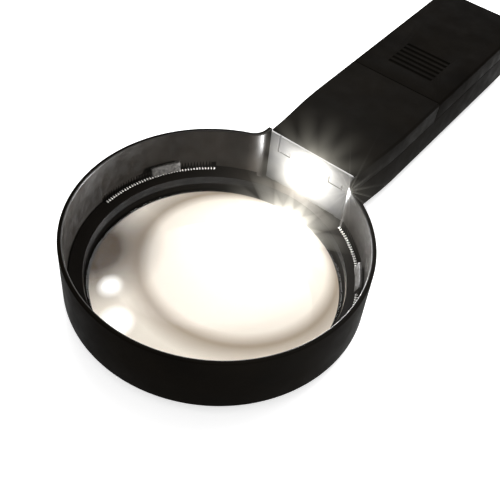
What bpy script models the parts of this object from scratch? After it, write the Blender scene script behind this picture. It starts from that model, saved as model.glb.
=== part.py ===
"""Hand-held illuminated low vision magnifier.

A round lens sits at the bottom of a deep ring. A flat panel with a round lamp window closes
the ring where the handle starts, and the handle holds two AA cells, a slide switch and the wiring.

Lengths in this file are millimetres. MM turns them into Blender's metres where a mesh is made.
The design frame has the lens axis on Z, the handle along +Y, the eye side on z = 0 and the
object side, where the lamp shines, on top. A root empty then centres the whole object.
"""
import math

import bmesh
import bpy
from mathutils import Matrix, Vector

MM = 0.001

# Whole object
DEPTH = 21.0                 # eye side to object side
RING_RADIUS = 41.0           # outside of the lens ring
HANDLE_END = 148.0           # from the lens axis to the end of the handle
GAP = 0.3                    # clearance between neighbouring pieces
OVERCUT = 1.0                # how far a cutter runs past the face that it opens
ALONG_Y = (math.radians(-90.0), 0.0, 0.0)   # turns a piece made about Z to point along +Y

# Lens ring and the pocket that meets the handle
WALL = 1.4
WALL_RADIUS = RING_RADIUS - WALL
EDGE_CHAMFER = 3.0           # width of the eye-side edge chamfer
EDGE_HEIGHT = 3.2            # height of the eye-side edge chamfer
POCKET_HALF = 14.6           # half width of the pocket, inside
POCKET_ANGLE = math.radians(27.0)   # where the round wall turns into the pocket
POCKET_END = 42.5            # where the pocket's side walls end
RING_FLOOR = 2.7             # top of the ring's base
LIP_BORE = 33.9              # eye-side opening
SEAT_RADIUS = 36.6           # counterbore that centres the lens
SEAT_Z = 1.2
RIM_CHAMFER = 0.4            # outer edge of the object-side rim
CAVITY = (                   # (offset, height) up the drafted inner wall and its rounded rim
    (-0.15, RING_FLOOR),
    (0.1, DEPTH - 0.3),
    (0.7, DEPTH + 0.3),
)
WALL_STEPS = 102
FILLET_STEPS = 6

# Lens
LENS_RADIUS = 36.3
LENS_FLANGE = (1.5, 2.4)     # bottom and top of the flat rim
LENS_DOME_RADIUS = 35.0
LENS_DOME_CURVE = 85.0       # radius of curvature, object side
LENS_BACK_RADIUS = 33.6
LENS_BACK_SAG = 1.1
LENS_STEPS = 72
DOME_RINGS = 8
BACK_SHARES = (0.02, 0.4, 0.7, 1.0)  # rings over the eye side, as shares of its radius

# Retaining ring over the lens
COLLAR_BOTTOM_RADIUS = 34.9
COLLAR_TOP_RADIUS = 35.6
COLLAR_TOP = 6.9
LEDGE_SLOPE = 0.28           # the ledge rises towards the wall
LEDGE_RADIUS = 39.15
RATCHET_RADIUS = 38.75       # tips of the three ratchet arcs
PANEL_RADIUS = 38.0          # cut back in front of the lamp panel
RATCHET_ARC = 55.0           # degrees
RATCHET_START = 39.9         # degrees from the handle
CATCH_CENTRE = 63.0          # degrees from the handle
CATCH_ARC = 13.5
CATCH_RADII = (37.4, 38.3, 39.15)    # foot, top edge and back
CATCH_Z = (8.3, 10.9)
CATCH_STEPS = 5
THIRD_TURN = 120.0
LAMP_SECTOR = 21.5           # half angle of the cut in front of the lamp panel
RING_STEP = 2.5              # degrees between sections of the retaining ring

# Lamp
PANEL_FACE = 41.3
PANEL_BACK = 42.5
PANEL_HALF = POCKET_HALF - GAP
PANEL_Z = (3.0, 20.9)
LAMP_Z = 12.2
WINDOW_RADIUS = 5.15
WINDOW_STEPS = 40
WINDOW_CROWN = ((2.0, 40.7), (4.2, 40.9))    # (radius, y) over the window's bulged face
REFLECTOR_Y = (42.8, 49.4)
REFLECTOR_RIM = 1.0          # width of the cylindrical rim at its mouth
REFLECTOR_FRONT = (5.6, 6.4)
REFLECTOR_BACK = (2.4, 3.8)
EMITTER = ((0.5, 48.2), (1.1, 48.5), (1.4, 49.1), (1.4, 49.7), (1.9, 49.7), (1.9, 50.4))
BOARD_Y = (50.7, 51.9)
BOARD_HALF = 10.0
BOARD_Z = (5.4, 19.0)
DRIVER_PARTS = {             # (left, right, bottom, top, height above the board)
    "driver_chip": (-3.5, 0.5, 6.9, 9.9, 1.2),
    "driver_resistor": (1.5, 3.8, 6.9, 8.2, 0.8),
    "driver_coil": (-2.0, 2.0, 11.0, 13.8, 1.6),
}

# Handle
HANDLE_START = POCKET_END + GAP
HANDLE_WALL = 1.3
INNER_CHAMFER = 2.3          # inside edge chamfer of the rear shell
HANDLE_HALF = (14.95, 16.25)        # object-side half width: at the ring, along the grip
FLARE_END = 66.0
FLARE_STEPS = 4
HANDLE_DRAFT = 0.25                 # how much narrower the eye side is
END_RADIUS = 5.0
END_WALL = 1.5
END_ANGLES = (0, 25, 45, 62, 76, 90)   # degrees round the handle's end corners
PARTING_Z = 13.8
COVER_INSIDE = 19.5
TOP_CHAMFER = 0.6
DOOR_START = 88.0
RIB = ((11.8, 0.6), (15.2, 3.9), (15.4, 12.0))   # (half width, height) of the cell ribs
RIB_STARTS = (86.2, 143.1)
RIB_THICKNESS = 1.2
DOOR_TAB_ROOT = ((-2.5, 88.3, 18.5), (2.5, 90.5, 20.0))
DOOR_TAB = ((-2.5, 85.6, 17.9), (2.5, 90.5, 19.2))
GRIP_GROOVES = 6
GRIP_START = 96.0
GRIP_PITCH = 2.4
GRIP_DEPTH = 0.5
GRIP_HALF = 8.0
FRONT_SCREW = (7.5, 56.0)
REAR_SCREW = (9.5, 82.0)
SCREW_SHAFT = 1.0
SCREW_HEAD = 2.0
SCREW_END = 13.0
COUNTERBORE = 1.8
PILLAR_RADIUS = 2.6
PILLAR_HOLE = 3.4            # where a pillar passes the ring's tenon
PILLAR_ROOT = 0.6
PILLAR_TOP = 8.0
BOSS_TOP = 20.0
BOSS_HOLE_END = 15.0
TENON_HALF = 11.0
TENON_START = 41.0
TENON_END = 62.0
TENON_Z = (1.6, 3.4)

# Switch
SWITCH_PAD = ((-6.2, 63.8, 0.6), (6.2, 80.2, 3.2))
SWITCH_RECESS = ((-5.0, 65.0, -1.0), (5.0, 79.0, 2.0))
SWITCH_SLOT = ((-1.85, 67.8, 1.0), (1.85, 75.6, 4.0))
SLIDER_ORIGIN = (0.0, 69.85, 1.0)
SLIDER = ((-4.7, 65.35, 0.2), (4.7, 74.35, 1.7))
SLIDER_STEM = ((-1.5, 68.2, 1.2), (1.5, 71.2, 5.0))
THUMB_GROOVES = 5
THUMB_START = 66.3
THUMB_PITCH = 1.6
THUMB_WIDTH = 0.7
SWITCH_BODY = ((-5.5, 64.5, 3.5), (5.5, 79.0, 9.0))
SWITCH_TRAVEL_SPACE = ((-2.3, 67.3, 3.0), (2.3, 76.1, 5.4))
TERMINALS = {"lamp": 67.0, "middle": 71.0, "battery": 75.0}

# Cells
CELL_RADIUS = 7.0
CELL_BODY = 49.2
CELL_NUB = 1.3
CELL_X = 7.2
CELL_Z = 11.9
CELL_CHAMFER = 0.5
NUB_RADII = (2.3, 2.75)
NUB_CHAMFER = 0.3
RIGHT_CELL_START = 89.0      # tip of the right cell, facing the lens
LEFT_CELL_START = 91.5       # flat end of the left cell
RIGHT_CELL_END = RIGHT_CELL_START + CELL_BODY + CELL_NUB
CONTACT_FRONT = 88.2
CONTACT_REAR = LEFT_CELL_START + CELL_BODY + CELL_NUB + GAP
CONTACT_THICKNESS = 0.5
SPRING_WIRE = 0.35
SPRING_RADII = (3.6, 2.4)    # at the base and at the tip
SPRING_TURNS = 2.0
SPRING_STEPS = 28

# Wires, front to back points picked along each route
LEAD_RADIUS = 0.55
LEAD_START = CONTACT_FRONT - GAP - 0.1
RED_ROUTE = (
    (CELL_X, LEAD_START, 13.6),
    (5.6, 85.6, 13.8),
    (4.0, 80.0, 12.6),
    (3.4, 70.0, 11.8),
    (2.6, 60.0, 13.4),
    (2.4, 52.4, 16.4),
)
BATTERY_ROUTE = (
    (-CELL_X, LEAD_START, 13.6),
    (-5.4, 85.4, 13.6),
    (-3.2, 80.5, 12.4),
    (-0.2, 75.6, 11.4),
)
LAMP_ROUTE = (
    (-0.2, 67.6, 11.4),
    (-2.4, 62.5, 13.4),
    (-2.8, 57.0, 15.6),
    (-2.4, 52.4, 16.4),
)

BLACK = ((0.012, 0.011, 0.010), 0.42, 0.0)
GLOSS_BLACK = ((0.02, 0.019, 0.018), 0.2, 0.0)
DARK_GREY = ((0.05, 0.05, 0.05), 0.5, 0.0)
SATIN_GREY = ((0.42, 0.42, 0.41), 0.35, 0.0)
CLEAR = ((0.95, 0.96, 0.96), 0.05, 0.0)
LAMP_WHITE = ((1.0, 0.98, 0.92), 0.3, 0.0)
LAMP_YELLOW = ((0.95, 0.85, 0.35), 0.4, 0.0)
BRIGHT = ((0.85, 0.85, 0.86), 0.18, 1.0)
NICKEL = ((0.72, 0.70, 0.66), 0.3, 1.0)
STEEL = ((0.45, 0.45, 0.46), 0.35, 1.0)
BOARD_GREEN = ((0.03, 0.16, 0.07), 0.45, 0.0)
RED = ((0.5, 0.03, 0.02), 0.4, 0.0)
CELL_BLUE = ((0.05, 0.09, 0.22), 0.35, 0.3)


def clear_scene():
    """Remove whatever is in the scene."""
    for obj in list(bpy.data.objects):
        bpy.data.objects.remove(obj, do_unlink=True)


def make_material(name, finish):
    """A Principled material from (colour, roughness, metallic)."""
    colour, roughness, metallic = finish
    material = bpy.data.materials.new(name)
    material.use_nodes = True
    shader = material.node_tree.nodes["Principled BSDF"]
    shader.inputs["Base Color"].default_value = (*colour, 1.0)
    shader.inputs["Roughness"].default_value = roughness
    shader.inputs["Metallic"].default_value = metallic
    return material


def add_object(name, bm, origin=(0.0, 0.0, 0.0), rotation=(0.0, 0.0, 0.0)):
    """An object from a bmesh in millimetres whose own origin is at `origin`."""
    bmesh.ops.recalc_face_normals(bm, faces=bm.faces)
    bmesh.ops.scale(bm, verts=bm.verts, vec=(MM, MM, MM))
    mesh = bpy.data.meshes.new(name)
    bm.to_mesh(mesh)
    bm.free()
    mesh.shade_smooth()
    mesh.set_sharp_from_angle(angle=math.radians(32.0))
    obj = bpy.data.objects.new(name, mesh)
    obj.location = Vector(origin) * MM
    obj.rotation_euler = rotation
    obj.parent = bpy.data.objects["magnifier_root"]
    bpy.context.scene.collection.objects.link(obj)
    return obj


def add_piece(name, bm, finish, **place):
    """A visible piece with its own material."""
    obj = add_object(name, bm, **place)
    obj.data.materials.append(make_material(name, finish))
    return obj


def boolean(obj, bm, operation, label):
    """Cut or join a helper shape, given in the design frame, into an object."""
    helper = add_object(f"{obj.name}_{label}", bm)
    helper.hide_render = True
    helper.display_type = "WIRE"
    modifier = obj.modifiers.new(label, "BOOLEAN")
    modifier.object = helper
    modifier.operation = operation
    modifier.solver = "EXACT"


def loft(layers):
    """A closed solid through loops of equal length, capped at both ends."""
    bm = bmesh.new()
    add_loft(bm, layers)
    return bm


def add_loft(bm, layers):
    loops = [[bm.verts.new(point) for point in layer] for layer in layers]
    count = len(layers[0])
    for low, high in zip(loops, loops[1:]):
        for i in range(count):
            j = (i + 1) % count
            bm.faces.new((low[i], low[j], high[j], high[i]))
    bm.faces.new(loops[0][::-1])
    bm.faces.new(loops[-1])


def ring_of_sections(sections):
    """A closed ring through section outlines of equal length."""
    bm = bmesh.new()
    loops = [[bm.verts.new(point) for point in section] for section in sections]
    count = len(sections[0])
    for k, loop in enumerate(loops):
        after = loops[(k + 1) % len(loops)]
        for i in range(count):
            j = (i + 1) % count
            bm.faces.new((loop[i], loop[j], after[j], after[i]))
    return bm


def add_box(bm, low, high):
    """A box between two corners, added to a bmesh."""
    corners = [(low[0], low[1]), (high[0], low[1]), (high[0], high[1]), (low[0], high[1])]
    add_loft(bm, [[(x, y, z) for x, y in corners] for z in (low[2], high[2])])


def boxes(*corners):
    bm = bmesh.new()
    for low, high in corners:
        add_box(bm, low, high)
    return bm


def circle(radius, z, steps, centre=(0.0, 0.0)):
    x, y = centre
    turns = [2.0 * math.pi * i / steps for i in range(steps)]
    return [(x + radius * math.cos(t), y + radius * math.sin(t), z) for t in turns]


def turned(profile, steps, centre=(0.0, 0.0)):
    """A solid of revolution about Z from (radius, z) pairs, bottom to top."""
    return loft([circle(radius, z, steps, centre) for radius, z in profile])


def turned_ring(profile, steps):
    """A ring about Z from a closed (radius, z) outline."""
    sections = []
    for i in range(steps):
        turn = 2.0 * math.pi * i / steps
        sections.append([(r * math.cos(turn), r * math.sin(turn), z) for r, z in profile])
    return ring_of_sections(sections)


def polar(radius, degrees, z):
    """A point at an angle from the handle, positive towards -X."""
    turn = math.radians(degrees)
    return (-radius * math.sin(turn), radius * math.cos(turn), z)


def head_outline(offset, end, z):
    """The ring's plan outline, `offset` outside the inner wall: circle, fillets and pocket."""
    fillet = (WALL_RADIUS * math.sin(POCKET_ANGLE) - POCKET_HALF) / (1.0 - math.sin(POCKET_ANGLE))
    centre_x = POCKET_HALF + fillet
    centre_y = (WALL_RADIUS + fillet) * math.cos(POCKET_ANGLE)
    side = []
    for i in range(FILLET_STEPS):
        turn = POCKET_ANGLE + (math.pi / 2.0 - POCKET_ANGLE) * (1.0 - i / FILLET_STEPS)
        radius = fillet - offset
        side.append((centre_x - radius * math.sin(turn), centre_y - radius * math.cos(turn)))
    left = [(-POCKET_HALF - offset, end)] + [(-x, y) for x, y in side]
    right = [(x, y) for x, y in reversed(side)] + [(POCKET_HALF + offset, end)]
    arc = []
    for i in range(WALL_STEPS + 1):
        turn = POCKET_ANGLE + 2.0 * (math.pi - POCKET_ANGLE) * i / WALL_STEPS
        radius = WALL_RADIUS + offset
        arc.append((-radius * math.sin(turn), radius * math.cos(turn)))
    return [(x, y, z) for x, y in left + arc + right]


def make_head_ring():
    """Ring wall, base, lens seat and the tenon that the handle shells clamp."""
    outer = [
        head_outline(WALL - EDGE_CHAMFER, POCKET_END, 0.0),
        head_outline(WALL, POCKET_END, EDGE_HEIGHT),
        head_outline(WALL, POCKET_END, DEPTH - RIM_CHAMFER),
        head_outline(WALL - RIM_CHAMFER, POCKET_END, DEPTH),
    ]
    ring = add_piece("head_ring", loft(outer), BLACK)
    low = (-TENON_HALF, TENON_START, TENON_Z[0])
    boolean(ring, boxes((low, (TENON_HALF, TENON_END, TENON_Z[1]))), "UNION", "tenon")
    cavity = [head_outline(offset, POCKET_END + OVERCUT, z) for offset, z in CAVITY]
    boolean(ring, loft(cavity), "DIFFERENCE", "cavity")
    seat = [
        (LIP_BORE, -OVERCUT),
        (LIP_BORE, SEAT_Z),
        (SEAT_RADIUS, SEAT_Z),
        (SEAT_RADIUS, RING_FLOOR + OVERCUT),
    ]
    boolean(ring, turned(seat, LENS_STEPS), "DIFFERENCE", "seat")
    low, high = TENON_Z
    holes = columns(PILLAR_HOLE, low - OVERCUT / 2.0, high + OVERCUT / 2.0, screw_places()[:2], steps=24)
    boolean(ring, holes, "DIFFERENCE", "pillar_holes")


def dome_profile():
    """(radius, z) pairs over the object side of the lens, rim to apex."""
    base = math.sqrt(LENS_DOME_CURVE ** 2 - LENS_DOME_RADIUS ** 2)
    pairs = []
    for i in range(DOME_RINGS + 1):
        radius = LENS_DOME_RADIUS * max(BACK_SHARES[0], 1.0 - i / DOME_RINGS)
        height = math.sqrt(LENS_DOME_CURVE ** 2 - radius ** 2) - base
        pairs.append((radius, LENS_FLANGE[1] + height))
    return pairs


def make_lens():
    """Nearly plano-convex lens with a flat rim, strong curve towards the object."""
    back = []
    for share in BACK_SHARES:
        sag = LENS_BACK_SAG * (1.0 - share ** 2)
        back.append((LENS_BACK_RADIUS * share, LENS_FLANGE[0] - sag))
    flange = [(LENS_RADIUS, z) for z in LENS_FLANGE]
    add_piece("lens", turned(back + flange + dome_profile(), LENS_STEPS), CLEAR)


def retaining_radius(degrees):
    """Outer radius of the retaining ring at an angle from the handle."""
    turn = degrees % 360.0
    if min(turn, 360.0 - turn) < LAMP_SECTOR:
        return PANEL_RADIUS
    if (turn - RATCHET_START) % THIRD_TURN < RATCHET_ARC:
        return RATCHET_RADIUS
    return LEDGE_RADIUS


def make_retaining_ring():
    """Ring that holds the lens down: steep bore, sloping ledge and three ratchet arcs."""
    sections = []
    for i in range(int(360.0 / RING_STEP)):
        degrees = (i + 0.2) * RING_STEP
        edge = retaining_radius(degrees)
        top = COLLAR_TOP + LEDGE_SLOPE * (edge - COLLAR_TOP_RADIUS)
        profile = [
            (COLLAR_BOTTOM_RADIUS, LENS_FLANGE[1] + GAP),
            (LENS_RADIUS - 0.1, LENS_FLANGE[1] + GAP),
            (LENS_RADIUS, RING_FLOOR + GAP),
            (edge, RING_FLOOR + GAP),
            (edge, top),
            (COLLAR_TOP_RADIUS, COLLAR_TOP),
        ]
        sections.append([polar(r, degrees, z) for r, z in profile])
    add_piece("lens_retaining_ring", ring_of_sections(sections), GLOSS_BLACK)


def make_catches():
    """Three blocks on the wall that stop the retaining ring from turning back."""
    foot, edge, back = CATCH_RADII
    low, high = CATCH_Z
    corners = ((foot, low), (back, low), (back, high), (edge, high))
    for k, name in enumerate(("left", "front", "right")):
        layers = []
        for i in range(CATCH_STEPS):
            turn = CATCH_ARC * (i / (CATCH_STEPS - 1) - 0.5)
            degrees = CATCH_CENTRE + k * THIRD_TURN + turn
            layers.append([polar(r, degrees, z) for r, z in corners])
        add_piece(f"ring_catch_{name}", loft(layers), SATIN_GREY)


def make_lamp():
    """Panel, window, reflector, emitter and board, front to back."""
    low = (-PANEL_HALF, PANEL_FACE, PANEL_Z[0])
    plate = add_piece("led_panel", boxes((low, (PANEL_HALF, PANEL_BACK, PANEL_Z[1]))), SATIN_GREY)
    ends = (PANEL_FACE - OVERCUT, PANEL_BACK + OVERCUT)
    hole = turned([(WINDOW_RADIUS + GAP, y) for y in ends], WINDOW_STEPS)
    bmesh.ops.rotate(hole, verts=hole.verts, matrix=Matrix.Rotation(ALONG_Y[0], 3, "X"))
    bmesh.ops.translate(hole, verts=hole.verts, vec=(0.0, 0.0, LAMP_Z))
    boolean(plate, hole, "DIFFERENCE", "window_hole")

    centre = (0.0, 0.0, LAMP_Z)
    edge = [(WINDOW_RADIUS, PANEL_FACE), (WINDOW_RADIUS, PANEL_BACK)]
    window = turned(list(WINDOW_CROWN) + edge, WINDOW_STEPS)
    add_piece("led_window", window, LAMP_WHITE, origin=centre, rotation=ALONG_Y)
    cone = [
        (REFLECTOR_FRONT[0], REFLECTOR_Y[0]),
        (REFLECTOR_FRONT[1], REFLECTOR_Y[0]),
        (REFLECTOR_FRONT[1], REFLECTOR_Y[0] + REFLECTOR_RIM),
        (REFLECTOR_BACK[1], REFLECTOR_Y[1]),
        (REFLECTOR_BACK[0], REFLECTOR_Y[1]),
    ]
    add_piece("led_reflector", turned_ring(cone, 32), BRIGHT, origin=centre, rotation=ALONG_Y)
    add_piece("led_emitter", turned(EMITTER, 16), LAMP_YELLOW, origin=centre, rotation=ALONG_Y)
    low = (-BOARD_HALF, BOARD_Y[0], BOARD_Z[0])
    add_piece("led_board", boxes((low, (BOARD_HALF, BOARD_Y[1], BOARD_Z[1]))), BOARD_GREEN)
    back = BOARD_Y[1] + GAP
    for name, (left, right, bottom, top, height) in DRIVER_PARTS.items():
        part = boxes(((left, back, bottom), (right, back + height, top)))
        add_piece(name, part, DARK_GREY)


def end_inset(y, radius):
    """How far the handle's side has turned in at y, near its rounded end."""
    past = max(0.0, y - (HANDLE_END - END_RADIUS))
    return radius - math.sqrt(max(0.0, radius ** 2 - min(past, radius) ** 2))


def half_width(y, z, inset):
    """Half width of the handle at a station and height, `inset` inside its skin."""
    flare = min(1.0, max(0.0, (y - HANDLE_START) / (FLARE_END - HANDLE_START)))
    flare = flare * flare * (3.0 - 2.0 * flare)
    top = HANDLE_HALF[0] + (HANDLE_HALF[1] - HANDLE_HALF[0]) * flare
    draft = HANDLE_DRAFT * (DEPTH - z) / (DEPTH - EDGE_HEIGHT)
    return top - draft - inset - end_inset(y, END_RADIUS)


def mirrored(points, y):
    """A closed section at y from its right half, bottom to top."""
    right = [(x, y, z) for x, z in points]
    return right + [(-x, y, z) for x, z in reversed(points)]


def stations(start, end):
    """Places along the handle where a section is needed between two ends."""
    corner = HANDLE_END - END_RADIUS
    rounded = [corner + END_RADIUS * math.sin(math.radians(angle)) for angle in END_ANGLES]
    flare = [HANDLE_START + (FLARE_END - HANDLE_START) * i / FLARE_STEPS for i in range(FLARE_STEPS + 1)]
    inside = [y for y in flare + rounded if start < y < end]
    return [start] + inside + [end]


def rear_outer(y):
    """Section of the rear shell's skin."""
    half = half_width(y, EDGE_HEIGHT, 0.0)
    top = half_width(y, PARTING_Z, 0.0)
    return mirrored([(half - EDGE_CHAMFER, 0.0), (half, EDGE_HEIGHT), (top, PARTING_Z)], y)


def rear_inner(y):
    """Section of the space inside the rear shell."""
    half = half_width(y, EDGE_HEIGHT, HANDLE_WALL)
    top = half_width(y, PARTING_Z, HANDLE_WALL)
    points = [
        (half - INNER_CHAMFER, HANDLE_WALL),
        (half, HANDLE_WALL + INNER_CHAMFER),
        (top, PARTING_Z + OVERCUT),
    ]
    return mirrored(points, y)


def cover_outer(y):
    """Section of the front shell's and the battery door's skin."""
    low = PARTING_Z + GAP / 2.0
    top = half_width(y, DEPTH, 0.0)
    points = [(half_width(y, low, 0.0), low), (top, DEPTH - TOP_CHAMFER), (top - TOP_CHAMFER, DEPTH)]
    return mirrored(points, y)


def cover_inner(y):
    """Section of the space under the cover."""
    low = half_width(y, PARTING_Z, HANDLE_WALL)
    top = half_width(y, DEPTH, HANDLE_WALL)
    return mirrored([(low, PARTING_Z - OVERCUT), (top, COVER_INSIDE)], y)


def screw_places():
    """The four housing screws, front pair then rear pair."""
    return [(side * x, y) for x, y in (FRONT_SCREW, REAR_SCREW) for side in (-1.0, 1.0)]


def columns(radius, low, high, places, steps=20):
    """Upright cylinders at each place."""
    bm = bmesh.new()
    for place in places:
        add_loft(bm, [circle(radius, z, steps, place) for z in (low, high)])
    return bm


def make_rear_shell():
    """Eye-side tub of the handle with its screw pillars, ribs and switch recess."""
    outer = [rear_outer(y) for y in stations(HANDLE_START, HANDLE_END)]
    shell = add_piece("handle_rear_shell", loft(outer), BLACK)
    inner = [rear_inner(y) for y in stations(HANDLE_START - OVERCUT, HANDLE_END - END_WALL)]
    boolean(shell, loft(inner), "DIFFERENCE", "inside")
    boolean(shell, boxes(SWITCH_PAD), "UNION", "switch_pad")
    for label, start in zip(("front_rib", "rear_rib"), RIB_STARTS):
        rib = loft([mirrored(RIB, y) for y in (start, start + RIB_THICKNESS)])
        boolean(shell, rib, "UNION", label)
    places = screw_places()
    boolean(shell, columns(PILLAR_RADIUS, PILLAR_ROOT, PILLAR_TOP, places), "UNION", "pillars")
    head_space = columns(SCREW_HEAD + GAP, -OVERCUT, COUNTERBORE, places)
    boolean(shell, head_space, "DIFFERENCE", "counterbores")
    holes = columns(SCREW_SHAFT + GAP, OVERCUT, PILLAR_TOP + OVERCUT, places)
    boolean(shell, holes, "DIFFERENCE", "screw_holes")
    boolean(shell, boxes(SWITCH_RECESS), "DIFFERENCE", "switch_recess")
    boolean(shell, boxes(SWITCH_SLOT), "DIFFERENCE", "switch_slot")


def make_front_shell():
    """Object-side cover between the lamp panel and the battery door, with screw bosses."""
    end = DOOR_START - GAP
    skin = loft([cover_outer(y) for y in stations(HANDLE_START, end)])
    shell = add_piece("handle_front_shell", skin, BLACK)
    inner = [cover_inner(y) for y in stations(HANDLE_START - OVERCUT, end + OVERCUT)]
    boolean(shell, loft(inner), "DIFFERENCE", "inside")
    places = screw_places()
    bosses = columns(PILLAR_RADIUS, PILLAR_TOP + GAP, BOSS_TOP, places)
    boolean(shell, bosses, "UNION", "bosses")
    holes = columns(SCREW_SHAFT + GAP, PILLAR_TOP - OVERCUT, BOSS_HOLE_END, places)
    boolean(shell, holes, "DIFFERENCE", "screw_holes")


def make_battery_door():
    """Object-side door over the cells: slides off the end of the handle."""
    skin = loft([cover_outer(y) for y in stations(DOOR_START, HANDLE_END)])
    door = add_piece("battery_door", skin, BLACK)
    inner = [cover_inner(y) for y in stations(DOOR_START - OVERCUT, HANDLE_END - END_WALL)]
    boolean(door, loft(inner), "DIFFERENCE", "inside")
    boolean(door, boxes(DOOR_TAB_ROOT), "UNION", "tab_root")
    boolean(door, boxes(DOOR_TAB), "UNION", "tab")
    grooves = []
    for i in range(GRIP_GROOVES):
        y = GRIP_START + GRIP_PITCH * i
        far = (GRIP_HALF, y + GRIP_PITCH / 2.0, DEPTH + OVERCUT)
        grooves.append(((-GRIP_HALF, y, DEPTH - GRIP_DEPTH), far))
    boolean(door, boxes(*grooves), "DIFFERENCE", "grip_grooves")
    move_origin(door, (0.0, DOOR_START, PARTING_Z))


def move_origin(obj, origin):
    """Put an object's own origin on its slide line without moving its shape."""
    shift = Vector(origin) * MM
    obj.data.transform(Matrix.Translation(-shift))
    obj.location = shift


def make_switch():
    """Thumb slider in its recess, the switch behind it and the solder terminals."""
    cap = add_piece("switch_slider", boxes(SLIDER), DARK_GREY)
    boolean(cap, boxes(SLIDER_STEM), "UNION", "stem")
    grooves = []
    for i in range(THUMB_GROOVES):
        y = THUMB_START + THUMB_PITCH * i
        grooves.append(((-4.0, y, -0.5), (4.0, y + THUMB_WIDTH, 0.55)))
    boolean(cap, boxes(*grooves), "DIFFERENCE", "thumb_grooves")
    move_origin(cap, SLIDER_ORIGIN)
    body = add_piece("switch_body", boxes(SWITCH_BODY), DARK_GREY)
    boolean(body, boxes(SWITCH_TRAVEL_SPACE), "DIFFERENCE", "travel")
    foot = SWITCH_BODY[1][2] + GAP
    for name, y in TERMINALS.items():
        pin = boxes(((-0.6, y, foot), (0.6, y + 1.2, foot + 1.1)))
        add_piece(f"switch_terminal_{name}", pin, NICKEL)


def make_cell(name, x, start, facing):
    """An AA cell along Y. facing is +1 where its tip points to the handle's end."""
    length = CELL_BODY + CELL_NUB
    profile = [
        (CELL_RADIUS - CELL_CHAMFER, 0.0),
        (CELL_RADIUS, CELL_CHAMFER),
        (CELL_RADIUS, CELL_BODY - CELL_CHAMFER),
        (CELL_RADIUS - CELL_CHAMFER, CELL_BODY),
        (NUB_RADII[1], CELL_BODY),
        (NUB_RADII[1], length - NUB_CHAMFER),
        (NUB_RADII[0], length),
    ]
    rotation = (math.radians(-90.0 * facing), 0.0, 0.0)
    y = start if facing > 0 else start + length
    add_piece(name, turned(profile, 32), CELL_BLUE, origin=(x, y, CELL_Z), rotation=rotation)


def make_curve(name, points, radius, finish):
    """A round wire through points in the design frame, with closed ends."""
    curve = bpy.data.curves.new(name, "CURVE")
    curve.dimensions = "3D"
    curve.bevel_depth = radius * MM
    curve.bevel_resolution = 2
    curve.use_fill_caps = True
    spline = curve.splines.new("POLY")
    spline.points.add(len(points) - 1)
    for slot, point in zip(spline.points, points):
        slot.co = (*(Vector(point) * MM), 1.0)
    obj = bpy.data.objects.new(name, curve)
    obj.parent = bpy.data.objects["magnifier_root"]
    obj.data.materials.append(make_material(name, finish))
    bpy.context.scene.collection.objects.link(obj)


def coil(x, y_base, y_tip):
    """A conical coil along Y between its base and its tip."""
    base, tip = SPRING_RADII
    points = []
    for i in range(SPRING_STEPS + 1):
        share = i / SPRING_STEPS
        radius = base + (tip - base) * share
        turn = 2.0 * math.pi * SPRING_TURNS * share
        y = y_base + (y_tip - y_base) * share
        points.append((x + radius * math.cos(turn), y, CELL_Z + radius * math.sin(turn)))
    return points


def smooth_route(route, per_leg=6):
    """Points along a Catmull-Rom curve through a wire's route."""
    knots = [Vector(p) for p in route]
    knots = [knots[0] * 2.0 - knots[1]] + knots + [knots[-1] * 2.0 - knots[-2]]
    points = []
    for a, b, c, d in zip(knots, knots[1:], knots[2:], knots[3:]):
        for i in range(per_leg):
            t = i / per_leg
            bend = (2.0 * a - 5.0 * b + 4.0 * c - d) * t ** 2
            turn = (3.0 * b - a - 3.0 * c + d) * t ** 3
            points.append(0.5 * (2.0 * b + (c - a) * t + bend + turn))
    return points + [knots[-2]]


def make_power():
    """Cells, contacts, springs and wires."""
    make_cell("battery_left", -CELL_X, LEFT_CELL_START, 1.0)
    make_cell("battery_right", CELL_X, RIGHT_CELL_START, -1.0)
    front = CONTACT_FRONT + CONTACT_THICKNESS
    for name, x in (("negative", -CELL_X), ("positive", CELL_X)):
        plate = boxes(((x - 4.2, CONTACT_FRONT, 7.0), (x + 4.2, front, 16.0)))
        add_piece(f"contact_{name}", plate, NICKEL)
    bridge = boxes(((-11.6, CONTACT_REAR, 7.5), (11.6, CONTACT_REAR + CONTACT_THICKNESS, 16.5)))
    add_piece("bridge_contact", bridge, NICKEL)
    clear = GAP + SPRING_WIRE
    springs = {
        "front_spring": coil(-CELL_X, front + clear, LEFT_CELL_START - clear),
        "rear_spring": coil(CELL_X, CONTACT_REAR - clear, RIGHT_CELL_END + clear),
    }
    for name, points in springs.items():
        make_curve(name, points, SPRING_WIRE, NICKEL)
    make_curve("wire_red", smooth_route(RED_ROUTE), LEAD_RADIUS, RED)
    make_curve("wire_black_battery", smooth_route(BATTERY_ROUTE), LEAD_RADIUS, BLACK)
    make_curve("wire_black_lamp", smooth_route(LAMP_ROUTE), LEAD_RADIUS, BLACK)


def make_screws():
    """Four screws from the eye side, through the rear shell into the cover's bosses."""
    seat = COUNTERBORE - GAP
    head = [(SCREW_HEAD - 0.3, 0.2), (SCREW_HEAD, 0.5), (SCREW_HEAD, seat)]
    shaft = [(SCREW_SHAFT, seat), (SCREW_SHAFT, SCREW_END)]
    names = ("front_left", "front_right", "rear_left", "rear_right")
    for name, (x, y) in zip(names, screw_places()):
        add_piece(f"screw_{name}", turned(head + shaft, 16), STEEL, origin=(x, y, 0.0))


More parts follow.
